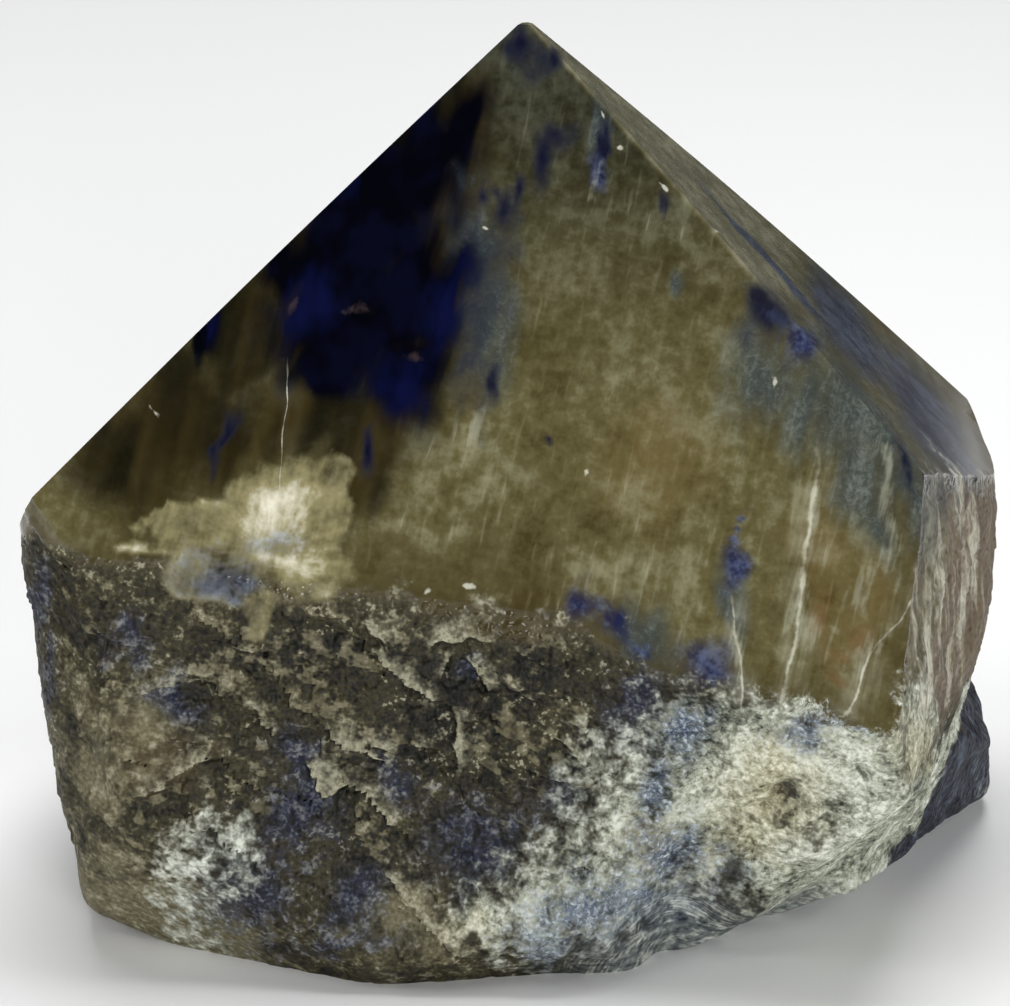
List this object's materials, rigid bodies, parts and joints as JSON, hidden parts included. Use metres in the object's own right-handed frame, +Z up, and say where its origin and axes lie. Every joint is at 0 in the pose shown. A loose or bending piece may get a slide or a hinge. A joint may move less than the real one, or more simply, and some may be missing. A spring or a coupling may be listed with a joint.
{
  "type": "rough sodalite point",
  "caption": "Rough blue, brown and cream sodalite stone, its top ground into polished facets that meet in a tip; stands on a small flat spot.",
  "frame": {"origin": "on the flat resting face, straight under the tip", "axes": "+Z up through the tip, -Y the way the large polished front facet faces, +X to the right seen from the front"},
  "size_m": [0.0803, 0.0619, 0.0721],
  "materials": {
    "sodalite": "polished facets above, broken and chalky below"
  },
  "bodies": {
    "root": {"sodalite_stone": "sodalite"}
  },
  "joints": []
}
